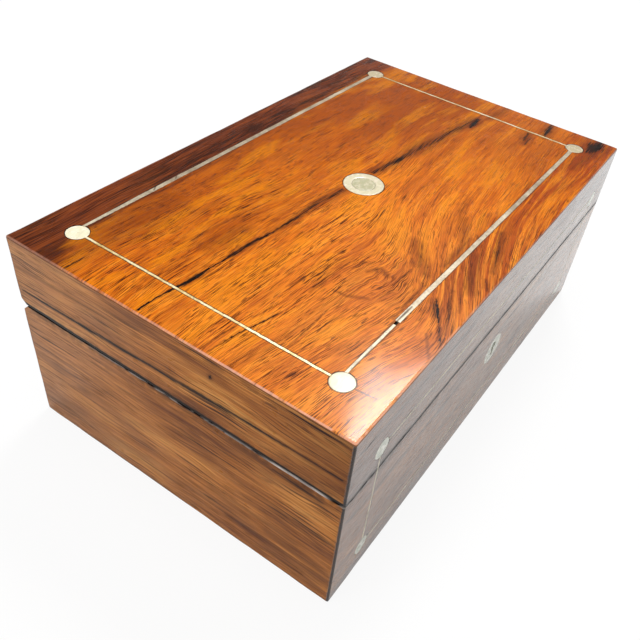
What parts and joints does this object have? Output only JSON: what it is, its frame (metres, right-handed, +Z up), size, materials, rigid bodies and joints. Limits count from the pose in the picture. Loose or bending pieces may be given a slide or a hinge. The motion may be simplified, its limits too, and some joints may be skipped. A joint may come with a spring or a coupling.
{
  "type": "antique glove box",
  "caption": "Veneered wooden glove box with a hinged lid, pearl roundels and white stringing, a box lock in its front wall and a lined interior.",
  "frame": {"origin": "middle of the underside, on the surface that the box stands on", "axes": "+X along the box's length to the right as seen from the front, the keyhole faces -Y, +Z up"},
  "size_m": [0.24, 0.15, 0.0915],
  "materials": {
    "rosewood_top": "French polished",
    "rosewood_side": "French polished",
    "mahogany": "stained and waxed",
    "pearl": "polished shell",
    "pearl_grey": "polished shell",
    "white_metal": "dulled white metal",
    "brass": "aged brass",
    "steel": "oiled steel",
    "velvet": "cotton velvet on board",
    "silk": "silk satin",
    "card": "plain card"
  },
  "bodies": {
    "base": {"bottom_board": "mahogany", "base_front_board": "mahogany", "base_back_board": "mahogany", "base_left_board": "mahogany", "base_right_board": "mahogany", "base_front_veneer": "rosewood_side", "base_back_veneer": "rosewood_side", "base_left_veneer": "rosewood_side", "base_right_veneer": "rosewood_side", "base_roundels": "pearl", "base_stringing": "white_metal", "escutcheon": "pearl", "floor_lining": "velvet", "front_lining": "velvet", "back_lining": "velvet", "left_lining": "velvet", "right_lining": "velvet", "hinge_base_leaves": "brass", "hinge_pins": "brass", "hinge_base_screws": "brass", "lock_plate": "brass", "lock_case": "steel", "lock_pins": "steel", "lock_screws": "brass"},
    "lid": {"lid_top_board": "mahogany", "lid_front_rail": "mahogany", "lid_back_rail": "mahogany", "lid_left_rail": "mahogany", "lid_right_rail": "mahogany", "lid_top_veneer": "rosewood_top", "lid_front_veneer": "rosewood_side", "lid_back_veneer": "rosewood_side", "lid_left_veneer": "rosewood_side", "lid_right_veneer": "rosewood_side", "lid_roundels": "pearl", "plaque_ring": "pearl", "plaque_disc": "pearl_grey", "lid_end_stringing": "white_metal", "lid_long_stringing": "white_metal", "lid_front_roundels": "pearl", "lid_front_stringing": "white_metal", "hinge_lid_leaves": "brass", "hinge_lid_screws": "brass", "link_plate": "brass", "link_screws": "brass", "lid_front_lining": "velvet", "lid_back_lining": "velvet", "lid_left_lining": "velvet", "lid_right_lining": "velvet", "lid_pad_card": "card", "lid_pad": "silk"},
    "bolt": {"lock_bolt": "brass", "bolt_spring": "steel"}
  },
  "joints": [
    {"name": "lid_hinge", "type": "hinge", "parent": "base", "child": "lid", "pos_m": [0, 0.072, 0.0602], "axis": [-1, 0, 0], "range_deg": [0, 96]},
    {"name": "bolt_slide", "type": "slide", "parent": "base", "child": "bolt", "axis": [1, 0, 0], "range_m": [0, 0.0042]}
  ]
}
